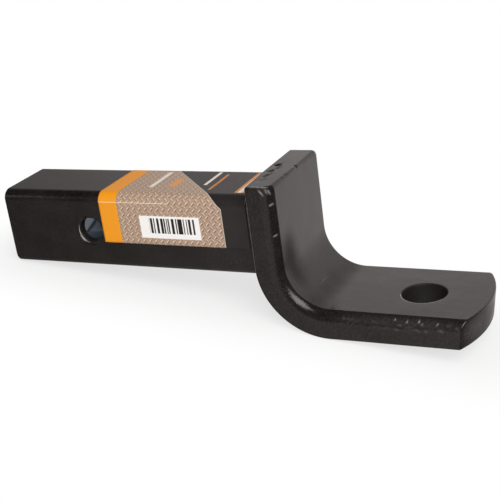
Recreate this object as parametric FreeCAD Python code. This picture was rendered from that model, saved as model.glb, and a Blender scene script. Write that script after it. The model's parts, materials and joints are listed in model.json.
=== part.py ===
import FreeCAD, Part
import math
import os

# A drop hitch bar: a square tube shank that slides into a tow receiver, a flat bar bent into an L
# and welded across the shank's end, the weld bead, and the printed label wrapped over the shank.
# The origin is the centre of the hitch pin hole, on the shank's axis. +X runs along the shank
# towards the tow ball, +Y runs across it along the hitch pin, and +Z is up. Millimetres.

# Shank: hollow square tube, open at the end that enters the receiver
SHANK_SIZE = 50.8
SHANK_WALL = 6.35
SHANK_OUTER_RADIUS = 6.4
SHANK_INNER_RADIUS = 2.0
SHANK_LENGTH = 183.0
SHANK_END_BREAK = 0.6

# Hitch pin hole, drilled through both side walls and countersunk on the outside
PIN_HOLE_DIAMETER = 16.7
PIN_HOLE_COUNTERSINK = 1.4
PIN_HOLE_SETBACK = 64.0

# Bent flat bar, sheared to width: the shear has rolled one edge of its inside face well over
# and left the other edge, and both edges of its outside face, nearly square
BAR_WIDTH = 71.6
BAR_THICKNESS = 17.4
BAR_ROLLED_EDGE_RADIUS = 5.5
BAR_SQUARE_EDGE_RADIUS = 1.5
BAR_RISE = 10.8
BAR_REACH = 132.6
BAR_END_BREAK = 1.0
BEND_INSIDE_RADIUS = 26.6
DROP = 66.6

# Round nose, cut so that it leans back a little from its upper to its lower edge
NOSE_RADIUS = 76.0
NOSE_LEAN = 2.1

# Ball hole, through the platform at the bar's free end
BALL_HOLE_DIAMETER = 27.0
BALL_HOLE_REACH = 91.8
BALL_HOLE_BREAK = 0.6

# Fillet weld round the shank's end
WELD_LEG = 4.6
WELD_CROWN = 0.5

# Label: printed film over the top of the shank, with a flap down each side
LABEL_THICKNESS = 0.2
LABEL_FLAP = 32.7
LABEL_PIN_HOLE_GAP = 0.15
LABEL_WELD_GAP = 1.0

# Places that follow from the sizes above
SHANK_HALF = SHANK_SIZE / 2
SHANK_OPEN_X = -PIN_HOLE_SETBACK
BAR_BACK_X = SHANK_LENGTH - PIN_HOLE_SETBACK
BAR_FRONT_X = BAR_BACK_X + BAR_THICKNESS
BAR_TOP_Z = SHANK_HALF + BAR_RISE
PLATFORM_Z = SHANK_HALF - DROP
BEND_X = BAR_FRONT_X + BEND_INSIDE_RADIUS
BEND_Z = PLATFORM_Z + BEND_INSIDE_RADIUS
BEND_OUTSIDE_RADIUS = BEND_INSIDE_RADIUS + BAR_THICKNESS
NOSE_X = BAR_BACK_X + BAR_REACH
BALL_HOLE_X = BAR_BACK_X + BALL_HOLE_REACH

# How far a cutting tool runs past the faces that it cuts
OVERRUN = 5.0

X_AXIS = FreeCAD.Vector(1, 0, 0)
Y_AXIS = FreeCAD.Vector(0, 1, 0)
Z_AXIS = FreeCAD.Vector(0, 0, 1)


def arc(start, centre, radius, end):
    """The short arc of that centre and radius from start to end."""
    middle = (start + end) * 0.5 - centre
    middle.normalize()
    return Part.Arc(start, centre + middle * radius, end).toShape()


def rounded_outline(corners, radii):
    """A closed wire through square corners, given in order, each rounded to its own radius."""
    count = len(corners)
    starts, ends, centres = [], [], []
    for i, corner in enumerate(corners):
        before = corners[i - 1] - corner
        after = corners[(i + 1) % count] - corner
        before.normalize()
        after.normalize()
        starts.append(corner + before * radii[i])
        ends.append(corner + after * radii[i])
        centres.append(corner + (before + after) * radii[i])
    edges = []
    for i in range(count):
        edges.append(arc(starts[i], centres[i], radii[i], ends[i]))
        edges.append(Part.LineSegment(ends[i], starts[(i + 1) % count]).toShape())
    return Part.Wire(edges)


def shank_outline(x, size, radius):
    """The rounded square of the shank's section, in the plane at x."""
    half = size / 2
    signs = ((-1, -1), (1, -1), (1, 1), (-1, 1))
    corners = [FreeCAD.Vector(x, y * half, z * half) for y, z in signs]
    return rounded_outline(corners, [radius] * len(corners))


def countersunk_cylinder(centre, axis, radius, length, flare):
    """A drill along axis, centred on centre, that flares by that much over the last flare at both ends."""
    drill_length = length + 2 * OVERRUN
    tool = Part.makeCylinder(radius, drill_length, centre - axis * (drill_length / 2), axis)
    for side in (axis, -axis):
        face = centre + side * (length / 2)
        cone_depth = flare + OVERRUN
        cone = Part.makeCone(radius + flare + OVERRUN, radius, cone_depth, face + side * OVERRUN, -side)
        tool = tool.fuse(cone)
    return tool


def make_shank_tube():
    """The square tube, cut square at both ends, with the hitch pin hole through its side walls."""
    along = X_AXIS * SHANK_LENGTH
    outer = Part.Face(shank_outline(SHANK_OPEN_X, SHANK_SIZE, SHANK_OUTER_RADIUS)).extrude(along)
    open_end = [edge for edge in outer.Edges if edge.BoundBox.XMax < SHANK_OPEN_X + SHANK_END_BREAK]
    outer = outer.makeChamfer(SHANK_END_BREAK, open_end)
    hollow_size = SHANK_SIZE - 2 * SHANK_WALL
    hollow = Part.Face(shank_outline(SHANK_OPEN_X, hollow_size, SHANK_INNER_RADIUS)).extrude(along)
    drill = countersunk_cylinder(
        FreeCAD.Vector(0, 0, 0), Y_AXIS, PIN_HOLE_DIAMETER / 2, SHANK_SIZE, PIN_HOLE_COUNTERSINK
    )
    return outer.cut(hollow).cut(drill)


def bar_section():
    """The flat bar's section, as a face lying level at the top of the upright leg."""
    half = BAR_WIDTH / 2
    corners = [
        FreeCAD.Vector(BAR_BACK_X, -half, BAR_TOP_Z),
        FreeCAD.Vector(BAR_FRONT_X, -half, BAR_TOP_Z),
        FreeCAD.Vector(BAR_FRONT_X, half, BAR_TOP_Z),
        FreeCAD.Vector(BAR_BACK_X, half, BAR_TOP_Z),
    ]
    square, rolled = BAR_SQUARE_EDGE_RADIUS, BAR_ROLLED_EDGE_RADIUS
    return Part.Face(rounded_outline(corners, [square, rolled, square, square]))


def bent_flat_bar():
    """The flat bar carried down the upright leg, round the bend and out along the platform."""
    section = bar_section()
    upright = section.extrude(Z_AXIS * (BEND_Z - BAR_TOP_Z))
    bend_start = section.translated(Z_AXIS * (BEND_Z - BAR_TOP_Z))
    bend_axis = FreeCAD.Vector(BEND_X, 0, BEND_Z)
    bend = bend_start.revolve(bend_axis, -Y_AXIS, 90)
    platform_start = bend_start.rotated(bend_axis, -Y_AXIS, 90)
    platform = platform_start.extrude(X_AXIS * (NOSE_X - BEND_X))
    return upright.fuse([bend, platform])


def nose_cutter():
    """What lies outside the round, leaning nose at the platform's free end."""
    sagitta = NOSE_RADIUS - math.sqrt(NOSE_RADIUS**2 - (BAR_WIDTH / 2) ** 2)
    low_corner = FreeCAD.Vector(
        NOSE_X - sagitta - NOSE_LEAN - OVERRUN,
        -BAR_WIDTH / 2 - OVERRUN,
        PLATFORM_Z - BAR_THICKNESS - OVERRUN,
    )
    block = Part.makeBox(
        sagitta + NOSE_LEAN + 2 * OVERRUN,
        BAR_WIDTH + 2 * OVERRUN,
        BAR_THICKNESS + 2 * OVERRUN,
        low_corner,
    )
    lean = FreeCAD.Vector(NOSE_LEAN, 0, BAR_THICKNESS).normalize()
    top_centre = FreeCAD.Vector(NOSE_X - NOSE_RADIUS / lean.z, 0, PLATFORM_Z)
    keep_length = BAR_THICKNESS + 2 * NOSE_RADIUS
    keep = Part.makeCylinder(NOSE_RADIUS, keep_length, top_centre - lean * (keep_length / 2), lean)
    return block.cut(keep)


def end_edges(bar):
    """The edges round the two cut ends of the bar: the top of the upright leg and the nose."""
    found = []
    for face in bar.Faces:
        is_top = face.BoundBox.ZMin > BAR_TOP_Z - BAR_END_BREAK
        is_nose = (
            isinstance(face.Surface, Part.Cylinder)
            and abs(face.Surface.Radius - NOSE_RADIUS) < OVERRUN / 1000
            and abs(face.Surface.Axis.z) > 0.5
        )
        if is_top or is_nose:
            found.extend(face.Edges)
    return found


def make_drop_bar():
    """The bent bar with its round nose, broken end edges and ball hole."""
    bar = bent_flat_bar().cut(nose_cutter())
    bar = bar.makeFillet(BAR_END_BREAK, end_edges(bar))
    drill = countersunk_cylinder(
        FreeCAD.Vector(BALL_HOLE_X, 0, PLATFORM_Z - BAR_THICKNESS / 2),
        Z_AXIS,
        BALL_HOLE_DIAMETER / 2,
        BAR_THICKNESS,
        BALL_HOLE_BREAK,
    )
    return bar.cut(drill)


def weld_root():
    """How far past the shank's end the bead must run to meet the bar where its back curves away."""
    below_bend = max(0.0, BEND_Z + SHANK_HALF + WELD_LEG)
    reach = min(below_bend, BEND_OUTSIDE_RADIUS)
    return BEND_OUTSIDE_RADIUS - math.sqrt(BEND_OUTSIDE_RADIUS**2 - reach**2) + WELD_LEG


def make_weld_bead(bar):
    """A crowned fillet carried round the shank's end, trimmed to the back of the bar."""
    root_x = BAR_BACK_X + weld_root()
    toe = FreeCAD.Vector(BAR_BACK_X - WELD_LEG, 0, SHANK_HALF)
    upper = FreeCAD.Vector(BAR_BACK_X, 0, SHANK_HALF + WELD_LEG)
    crown = (toe + upper) * 0.5 + FreeCAD.Vector(-1, 0, 1).normalize() * WELD_CROWN
    root_upper = FreeCAD.Vector(root_x, 0, SHANK_HALF + WELD_LEG)
    root_lower = FreeCAD.Vector(root_x, 0, SHANK_HALF)
    profile = Part.Wire(
        [
            Part.Arc(toe, crown, upper).toShape(),
            Part.LineSegment(upper, root_upper).toShape(),
            Part.LineSegment(root_upper, root_lower).toShape(),
            Part.LineSegment(root_lower, toe).toShape(),
        ]
    )
    path = half_top_first(shank_outline(BAR_BACK_X, SHANK_SIZE, SHANK_OUTER_RADIUS))
    bead = path.makePipeShell([profile], True, False)
    return bead.cut(bar)


def half_top_first(outline):
    """The shank's outline as a closed wire that starts in the middle of its top side."""
    top = max(outline.Edges, key=lambda edge: edge.CenterOfMass.z)
    others = [edge for edge in outline.Edges if not edge.isSame(top)]
    first, last = (vertex.Point for vertex in top.Vertexes)
    middle = (first + last) * 0.5
    halves = [Part.LineSegment(first, middle).toShape(), Part.LineSegment(middle, last).toShape()]
    ordered = Part.__sortEdges__([halves[1], *others, halves[0]])
    return Part.Wire(ordered)


def label_line(offset):
    """Edges of the label's section, from one flap's hem over the top to the other, offset outwards."""
    side = SHANK_HALF + offset
    radius = SHANK_OUTER_RADIUS + offset
    centre = SHANK_HALF - SHANK_OUTER_RADIUS
    hem_z = SHANK_HALF - LABEL_FLAP

    def at(y, z):
        return FreeCAD.Vector(label_start_x(), y, z)

    return [
        Part.LineSegment(at(-side, hem_z), at(-side, centre)).toShape(),
        arc(at(-side, centre), at(-centre, centre), radius, at(-centre, side)),
        Part.LineSegment(at(-centre, side), at(centre, side)).toShape(),
        arc(at(centre, side), at(centre, centre), radius, at(side, centre)),
        Part.LineSegment(at(side, centre), at(side, hem_z)).toShape(),
    ]


def label_start_x():
    """The label starts just clear of the hitch pin hole's countersink."""
    return PIN_HOLE_DIAMETER / 2 + PIN_HOLE_COUNTERSINK + LABEL_PIN_HOLE_GAP


def make_shank_label():
    """The printed film, lying on the shank's top and sides and ending just short of the weld."""
    inner, outer = label_line(0.0), label_line(LABEL_THICKNESS)
    hems = []
    for z_end in (0, -1):
        corner = inner[z_end].Vertexes[z_end].Point
        hems.append(Part.LineSegment(corner, outer[z_end].Vertexes[z_end].Point).toShape())
    section = Part.Face(Part.Wire(Part.__sortEdges__([*inner, *outer, *hems])))
    end_x = BAR_BACK_X - WELD_LEG - LABEL_WELD_GAP
    return section.extrude(X_AXIS * (end_x - label_start_x()))


def main():
    """Build each piece and write it to its own file."""
    bar = make_drop_bar()
    pieces = {
        "shank_tube": make_shank_tube(),
        "drop_bar": bar,
        "weld_bead": make_weld_bead(bar),
        "shank_label": make_shank_label(),
    }
    os.makedirs("parts", exist_ok=True)
    for name, shape in pieces.items():
        solids = shape.Solids
        print(f"{name}: valid {shape.isValid()}, solids {len(solids)}, volume {shape.Volume:.0f} mm3")
        piece = solids[0] if len(solids) == 1 else Part.makeCompound(solids)
        piece.exportStep(f"parts/{name}.step")


main()
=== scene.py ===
"""Studio view of a drop hitch bar: square shank, bent flat bar, fillet weld and printed label.

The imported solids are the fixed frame. Sizes in this file are millimetres unless a name says
otherwise, and every mesh is turned into metres when it is made.
"""

import json
import logging
import math
from dataclasses import dataclass
from enum import Enum

import bmesh
import bpy
import numpy as np
from mathutils import Matrix, Vector

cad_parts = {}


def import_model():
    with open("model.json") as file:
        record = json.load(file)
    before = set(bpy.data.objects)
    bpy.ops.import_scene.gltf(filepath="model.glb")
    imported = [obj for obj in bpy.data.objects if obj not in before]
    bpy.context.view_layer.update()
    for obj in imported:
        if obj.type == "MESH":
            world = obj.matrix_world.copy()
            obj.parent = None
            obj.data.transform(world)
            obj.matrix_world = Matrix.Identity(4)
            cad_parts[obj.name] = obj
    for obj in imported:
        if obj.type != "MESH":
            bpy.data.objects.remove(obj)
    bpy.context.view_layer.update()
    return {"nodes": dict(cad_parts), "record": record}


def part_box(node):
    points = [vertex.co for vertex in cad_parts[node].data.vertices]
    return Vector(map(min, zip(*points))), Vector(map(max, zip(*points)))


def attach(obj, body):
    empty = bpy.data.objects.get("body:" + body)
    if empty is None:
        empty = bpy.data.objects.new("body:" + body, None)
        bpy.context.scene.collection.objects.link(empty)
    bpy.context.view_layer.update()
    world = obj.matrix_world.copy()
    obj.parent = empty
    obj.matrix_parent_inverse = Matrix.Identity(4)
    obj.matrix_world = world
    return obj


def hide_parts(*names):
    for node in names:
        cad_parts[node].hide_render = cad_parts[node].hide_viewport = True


LOG = logging.getLogger("drop_hitch_bar")
METRE = 0.001  # metres in a millimetre
BODY = "root"
QUARTER = math.pi / 2  # a quarter turn
PICTURE = 500  # pixels across the picture
SMOOTH = {"interpolation_type": "SMOOTHSTEP"}  # soft ends for a range
SWAY = 0.05  # height of the slow unevenness of the bar's faces
SWAY_LENGTHS = (9.0, 7.5, 8.0)  # its wavelengths over two pi, along x, y and z
SWAY_STARTS = (0.4, 1.1, 2.3)  # its phases

Tree, Node = bpy.types.NodeTree, bpy.types.Node
Material, Piece = bpy.types.Material, bpy.types.Object
Span = tuple[float, float]
Point = tuple[float, float, float]
Range = tuple[float, float, float, float]  # two values, and the level at each
Stops = tuple[tuple[float, str], ...]  # places and colours of a colour ramp


def linear(code: str) -> tuple[float, float, float, float]:
    """Turn an sRGB hex value into a linear colour.

    Args:
        code: Colour such as "#a08060".

    Returns:
        Linear red, green and blue with an alpha of 1.
    """
    parts = [int(code[i : i + 2], 16) / 255 for i in (1, 3, 5)]
    red, green, blue = (c / 12.92 if c <= 0.04045 else ((c + 0.055) / 1.055) ** 2.4 for c in parts)
    return red, green, blue, 1.0


def add(
    tree: Tree,
    kind: str,
    *inputs: object,
    sockets: dict | None = None,
    stops: Stops = (),
    **settings: object,
) -> Node:
    """Add one node with its settings and links.

    Args:
        tree: Node tree of a material or of the world.
        kind: Blender's name for the kind of node, after the word ShaderNode.
        inputs: Values for its first sockets in order, or the nodes or sockets that feed them.
        sockets: The same for other sockets, by name or number.
        stops: Places and colours of a colour ramp.
        settings: Properties of the node itself.

    Returns:
        The new node.
    """
    node = tree.nodes.new("ShaderNode" + kind)
    for name, value in settings.items():
        setattr(node, name, value)
    if stops:
        ramp = node.color_ramp.elements
        while len(ramp) < len(stops):
            ramp.new(1.0)
        for element, (place, code) in zip(ramp, stops):
            element.position = place
            element.color = linear(code)
    for key, value in [*enumerate(inputs), *(sockets or {}).items()]:
        if isinstance(value, Node):
            value = next(socket for socket in value.outputs if socket.enabled)
        if isinstance(value, bpy.types.NodeSocket):
            tree.links.new(value, node.inputs[key])
        else:
            node.inputs[key].default_value = value
    return node


def new_material(name: str) -> tuple[Material, Tree]:
    """Start an empty node material.

    Args:
        name: What the real material is and how its surface was made.

    Returns:
        The material and its node tree.
    """
    material = bpy.data.materials.new(name)
    material.use_nodes = True
    material.node_tree.nodes.clear()
    return material, material.node_tree


def spread(*counts: int) -> np.ndarray:
    """Step evenly through stretches: 0 to 1 in the first count of steps, 1 to 2 in the next."""
    return np.concatenate([i + np.arange(c) / c for i, c in enumerate(counts)] + [[len(counts)]])


def node_box(name: str) -> tuple[np.ndarray, np.ndarray]:
    """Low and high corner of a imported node."""
    low, high = (np.array(corner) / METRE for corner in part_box(name))
    return low, high


def weld_grids(
    grids: list[np.ndarray], left_out: np.ndarray | None = None
) -> tuple[np.ndarray, np.ndarray]:
    """Join grids of points into one mesh: points that coincide become one, and unused ones go.

    Args:
        grids: Arrays of rows by columns by three.
        left_out: Which cells of the first grid make no face.

    Returns:
        The points, and four point numbers for each quad.
    """
    points = np.concatenate([grid.reshape(-1, 3) for grid in grids])
    quads, first = [], 0
    for number, grid in enumerate(grids):
        rows, columns = grid.shape[:2]
        corner = first + np.arange(rows - 1)[:, None] * columns + np.arange(columns - 1)
        cells = np.stack([corner, corner + 1, corner + columns + 1, corner + columns], axis=-1)
        holed = number == 0 and left_out is not None
        quads.append(cells[~left_out] if holed else cells.reshape(-1, 4))
        first += rows * columns
    rounded = np.round(points, 4)
    _, kept, numbers = np.unique(rounded, axis=0, return_index=True, return_inverse=True)
    faces = numbers.reshape(-1)[np.concatenate(quads)]
    used, faces = np.unique(faces, return_inverse=True)
    return points[kept][used], faces.reshape(-1, 4)


def make_piece(
    name: str,
    points: np.ndarray,
    quads: np.ndarray,
    material: Material,
    print_map: np.ndarray | None = None,
) -> Piece:
    """Make a smooth mesh object that sits at the origin, with its faces pointing outwards.

    Args:
        name: Name of the piece.
        points: Its points.
        quads: Four point numbers for each quad.
        material: Its finish.
        print_map: UV place of each point.

    Returns:
        The object, linked to the scene.
    """
    mesh = bpy.data.meshes.new(name)
    mesh.from_pydata(points * METRE, [], quads)
    if print_map is not None:
        layer = mesh.uv_layers.new(name="print")
        corner_points = np.empty(len(mesh.loops), np.int32)
        mesh.loops.foreach_get("vertex_index", corner_points)
        layer.uv.foreach_set("vector", print_map[corner_points].astype(np.float32).ravel())
    built = bmesh.new()
    built.from_mesh(mesh)
    bmesh.ops.recalc_face_normals(built, faces=built.faces)
    built.to_mesh(mesh)
    built.free()
    mesh.shade_smooth()
    mesh.materials.append(material)
    piece = bpy.data.objects.new(name, mesh)
    bpy.context.scene.collection.objects.link(piece)
    return piece


@dataclass(frozen=True)
class Mark:
    """One nick, gouge, lump, rubbed line or painted highlight on the steel.

    Attributes:
        place: Its middle.
        along: Direction of its length.
        length: Half of its length.
        width: Half of its width.
        depth: How deep it is pressed in; negative for a lump, 0 where only the paint is changed.
        rub_and_glint: How far the paint is paled there, from 0 to 1, for rubbed paint and for painted
            highlights; below 0 it is dull from a rough cut.
    """

    place: Point
    along: Point
    length: float
    width: float
    depth: float
    rub_and_glint: float = 0.0


def press_marks(piece: Piece, marks: list[Mark]) -> None:
    """Press marks and a slow sway into a finished piece along its normals, and note the rubbed paint and
    the painted highlights.

    A mark falls off across its axis as a bell curve, and along it as a bell curve of the fourth
    power, which has a flat middle. The sway is a product of three sines of the place.

    Args:
        piece: Piece whose mesh changes; it gets the point attribute "wear", for rubbed paint and painted
            highlights.
        marks: The marks.
    """
    mesh = piece.data
    points, normals = np.empty((2, len(mesh.vertices) * 3), np.float32)
    mesh.vertices.foreach_get("co", points)
    mesh.vertex_normals.foreach_get("vector", normals)
    points, normals = points.reshape(-1, 3) / METRE, normals.reshape(-1, 3)
    depth = SWAY * np.prod(np.sin(points / SWAY_LENGTHS + SWAY_STARTS), axis=1)
    rubbed_and_lit, dulled = np.zeros((2, len(points)))
    for mark in marks:
        offset = points - np.array(mark.place)
        along = offset @ (np.array(mark.along) / np.linalg.norm(mark.along))
        across = np.maximum((offset**2).sum(axis=1) - along**2, 0.0)
        fall = np.exp(-((along / mark.length) ** 4) - across / mark.width**2)
        depth = depth + mark.depth * fall
        # Pale paint of rubbed spots and of painted highlights
        rubbed_and_lit = np.maximum(rubbed_and_lit, mark.rub_and_glint * fall)
        dulled = np.maximum(dulled, -mark.rub_and_glint * fall)
    moved = (points - normals * depth[:, None]) * METRE
    wear = (rubbed_and_lit - dulled).astype(np.float32)
    mesh.vertices.foreach_set("co", moved.astype(np.float32).ravel())
    mesh.attributes.new("wear", "FLOAT", "POINT").data.foreach_set("value", wear)
    mesh.update()


@dataclass(frozen=True)
class Grain:
    """Uneven spots in a finish.

    Attributes:
        width: Width of a spot.
        detail: How many times it holds spots of half the size.
        fineness: Strength of each smaller size against the one before.
    """

    width: float
    detail: float
    fineness: float

    def sockets(self) -> dict[str, float]:
        """Values for the sockets of a noise that works in millimetres."""
        return {"Scale": 1 / self.width, "Detail": self.detail, "Roughness": self.fineness}


@dataclass(frozen=True)
class Bore:
    """A round hole through the steel, whose torn wall takes the paint badly, with a painted highlight in
    pale paint on one stretch of its rim.

    Attributes:
        across: 1 for the two axes that lie across the hole and 0 for the one along it.
        x: X of its axis.
        radius: Radius of the line on its rim where a highlight is painted in pale paint.
        highlight_way: Direction from its axis to the side of the painted highlight; the longer, the
            further round.
        line: Half width of the painted highlight.
        start: Share of the radius along that way at which the painted highlight starts.
        roughness: Roughness of the wall.
    """

    across: Point
    x: float
    radius: float
    highlight_way: Point
    line: float = 0.2
    start: float = 0.6
    roughness: float = 0.6

    def masks(self, tree: Tree, place: Node) -> tuple[Node, Node]:
        """Find the hole's wall, which lies within the rim, and the stretch of the rim that carries a
        painted highlight.

        Args:
            tree: The paint's node tree.
            place: Object coordinates in millimetres.

        Returns:
            The nodes that give 1 on the wall, and on the painted highlight.
        """
        flat = add(tree, "VectorMath", place, self.across, operation="MULTIPLY")
        flat = add(tree, "VectorMath", flat, (self.x, 0, 0), operation="SUBTRACT")
        away = add(tree, "VectorMath", flat, operation="LENGTH").outputs["Value"]
        wall = add(tree, "Math", away, self.radius + self.line / 2, operation="LESS_THAN")
        ring = add(tree, "Math", away, self.radius, self.line, operation="COMPARE")
        side = add(tree, "VectorMath", flat, self.highlight_way, operation="DOT_PRODUCT").outputs["Value"]
        side = add(tree, "MapRange", side, self.start * self.radius, self.radius)
        return wall, add(tree, "Math", ring, side, operation="MULTIPLY")


@dataclass(frozen=True)
class MillScale:
    """Mill scale on the bare inside of a rolled tube.

    It gives the eye a matt steel blue in uneven flakes, with painted shade that darkens it towards the
    weld and painted bands of light and shade on the far wall beyond the pin hole.

    Attributes:
        half: Half width of the space inside the tube.
        margin: How far beyond that half width a place still counts as inside.
        dark: Scale deep inside, darkened as painted shade.
        lit_scale: Scale near the open end, paler as painted light.
        flakes: Its flakes.
        way: Direction towards the open end and upwards, where the painted light grows, across the painted
            bands.
        light_falloff: Two distances along that way, and what each adds to the flakes: painted shade deep
            inside, painted light towards the open end.
        bands_end: Distance along that way at which the painted bands end.
        lit_and_shaded_bands: Shares of that distance and colours of the painted bands of light and shade.
        light_spot: Middle of the place where the painted bands show.
        fading: Two distances from there, and how far the painted bands cover the scale at each.
        roughness: Its roughness.
    """

    half: float
    margin: float = 0.5
    dark: str = "#1f2428"
    lit_scale: str = "#97a4b2"
    flakes: Grain = Grain(7.0, 4.0, 0.65)
    way: Point = (-0.72, 0.0, 0.69)
    light_falloff: Range = (0.0, 15.0, -0.6, 0.45)
    bands_end: float = 15.5
    # A painted patch of light, a painted dark stripe and a painted pale glint
    lit_and_shaded_bands: Stops = (
        (0.0, "#6a7680"),
        (0.63, "#8b9aa8"),
        (0.71, "#4a545c"),
        (0.78, "#4a545c"),
        (0.86, "#d2dde5"),
    )
    light_spot: Point = (-29.0, 19.0, -16.0)
    fading: Range = (13.0, 19.0, 1.0, 0.0)
    roughness: float = 0.55

    def coat(self, tree: Tree, place: Node) -> tuple[Node, Node]:
        """Find the inside of the tube and the colour of its scale, with its painted light and shade.

        Args:
            tree: The paint's node tree.
            place: Object coordinates in millimetres.

        Returns:
            The node that gives 1 inside, and the one that gives the colour.
        """
        size = add(tree, "VectorMath", place, operation="ABSOLUTE")
        _, wide, high = add(tree, "SeparateXYZ", size).outputs
        widest = add(tree, "Math", wide, high, operation="MAXIMUM")
        inside = add(tree, "Math", widest, self.half + self.margin, operation="LESS_THAN")
        flakes = add(tree, "TexNoise", place, sockets=self.flakes.sockets())
        # Painted shade deep inside the tube, painted light towards its open end
        deep = add(tree, "VectorMath", place, self.way, operation="DOT_PRODUCT").outputs["Value"]
        lit_scale = add(tree, "MapRange", deep, *self.light_falloff)
        lit_scale = add(tree, "Math", lit_scale, flakes, operation="ADD", use_clamp=True)
        mixed = {0: lit_scale, 6: linear(self.dark), 7: linear(self.lit_scale)}
        scale = add(tree, "Mix", sockets=mixed, data_type="RGBA")
        # Painted bands of light and shade on the far wall beyond the pin hole
        band_colour = add(tree, "MapRange", deep, 0.0, self.bands_end)
        band_colour = add(tree, "ValToRGB", band_colour, stops=self.lit_and_shaded_bands)
        away = add(tree, "VectorMath", place, self.light_spot, operation="DISTANCE").outputs["Value"]
        light_spot_cover = add(tree, "MapRange", away, *self.fading)
        return inside, add(tree, "Mix", sockets={0: light_spot_cover, 6: scale, 7: band_colour}, data_type="RGBA")


@dataclass(frozen=True)
class BlackPaint:
    """Black alkyd enamel sprayed on mill-finish steel and air dried.

    It gives the eye a near-black, slightly warm satin film that mirrors pale surroundings softly at
    a grazing angle, with a faint orange peel, slow waves from the rolled steel below it, greyer
    spots where handling has rubbed it, and pale paint that stands for painted highlights at nicks,
    burrs, edges and hole rims.

    Attributes:
        name: Name of the material.
        colour: The paint.
        faded: Paint that is thin.
        fading: Levels of the clouds at which the paint starts to fade and is faded.
        dust: Dust on the orange peel.
        dusting: Two levels of the peel, and the dust's cover at each.
        rubbed_and_lit: Pale paint at edges and nicks, both rubbed paint and painted highlights.
        rubbed_and_lit_breaks: Factor and offset by which the breaks let that pale paint show.
        roughness: Two levels of the clouds, and the film's roughness at each.
        clouds: Clouds of faded paint.
        breaks: Breaks in the rubbed paint.
        peel: Its orange peel.
        peel_height: Height of the orange peel.
        waves: Waves in the steel.
        wave_height: Height of these waves.
        ior: Index of refraction of the film.
        inside: The bare inside of a painted tube.
        bore: The hole through the painted piece.
    """

    name: str
    colour: str = "#100d0d"
    faded: str = "#1f1a19"
    fading: Span = (0.38, 0.78)
    dust: str = "#3d3735"
    dusting: Range = (0.42, 0.72, 0.0, 0.3)
    rubbed_and_lit: str = "#b0aba6"
    rubbed_and_lit_breaks: Span = (1.6, -0.1)
    roughness: Range = (0.3, 0.75, 0.12, 0.26)
    clouds: Grain = Grain(22.0, 5.0, 0.62)
    breaks: Grain = Grain(1.6, 3.0, 0.6)
    peel: Grain = Grain(1.1, 2.0, 0.5)
    peel_height: float = 0.08
    waves: Grain = Grain(16.0, 1.0, 0.4)
    wave_height: float = 0.2
    ior: float = 1.5
    inside: MillScale | None = None
    bore: Bore | None = None

    def material(self) -> Material:
        """Build the paint's nodes and return the material."""
        material, tree = new_material(self.name)
        place = add(tree, "TexCoord").outputs["Object"]
        place = add(tree, "VectorMath", place, sockets={"Scale": 1 / METRE}, operation="SCALE")
        cloud, breaks, peel, wave = (
            add(tree, "TexNoise", place, sockets=grain.sockets())
            for grain in (self.clouds, self.breaks, self.peel, self.waves)
        )
        worn_and_lit = add(tree, "Attribute", attribute_name="wear").outputs["Fac"]
        faded = add(tree, "ValToRGB", cloud, stops=tuple(zip(self.fading, ("#000000", "#ffffff"))))
        dusty = add(tree, "MapRange", peel, *self.dusting)
        broken = add(tree, "Math", breaks, *self.rubbed_and_lit_breaks, operation="MULTIPLY_ADD")
        # Pale paint where the marks carry rubbed paint and painted highlights
        rubbed_and_lit = add(tree, "Math", worn_and_lit, broken, operation="MULTIPLY", use_clamp=True)
        inks = (faded, self.faded), (dusty, self.dust), (rubbed_and_lit, self.rubbed_and_lit)
        coats = [(cover, linear(code)) for cover, code in inks]
        rough = add(tree, "MapRange", cloud, *self.roughness)
        dull = add(tree, "Math", worn_and_lit, -1.0, operation="MULTIPLY", use_clamp=True)
        rough = add(tree, "Math", rough, dull, operation="ADD")
        matt = []
        if self.inside:
            inside, scale = self.inside.coat(tree, place)
            coats.append((inside, scale))
            matt.append((inside, self.inside.roughness))
        if self.bore:
            wall, rim = self.bore.masks(tree, place)
            # The rim's painted highlight, in the pale paint
            coats.append((rim, linear(self.rubbed_and_lit)))
            matt.append((wall, self.bore.roughness))
        film = linear(self.colour)
        for cover, coat in coats:
            film = add(tree, "Mix", sockets={0: cover, 6: film, 7: coat}, data_type="RGBA")
        for cover, level in matt:
            rough = add(tree, "Mix", sockets={0: cover, 2: rough, 3: level}, data_type="FLOAT")
        waves = {"Height": wave, "Strength": 1.0, "Distance": self.wave_height * METRE}
        bump = add(tree, "Bump", sockets=waves)
        bumps = {"Height": peel, "Strength": 1.0, "Distance": self.peel_height * METRE, "Normal": bump}
        bump = add(tree, "Bump", sockets=bumps)
        satin = {"Base Color": film, "Roughness": rough, "Normal": bump, "IOR": self.ior}
        add(tree, "OutputMaterial", add(tree, "BsdfPrincipled", sockets=satin))
        return material


@dataclass(frozen=True)
class Field:
    """A plain printed field: its low and high corner on the sheet, and its ink."""

    low: Span
    high: Span
    ink: str

    def cover(self, tree: Tree, split: Node) -> Node:
        """Find where the sheet lies inside the field.

        Args:
            tree: The print's node tree.
            split: Print coordinates in millimetres, along the shank and round it.

        Returns:
            The node that gives 1 inside and 0 outside.
        """
        masks = [
            add(tree, "Math", place, (low + high) / 2, (high - low) / 2, operation="COMPARE")
            for place, low, high in zip(split.outputs, self.low, self.high)
        ]
        return add(tree, "Math", *masks, operation="MULTIPLY")


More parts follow.
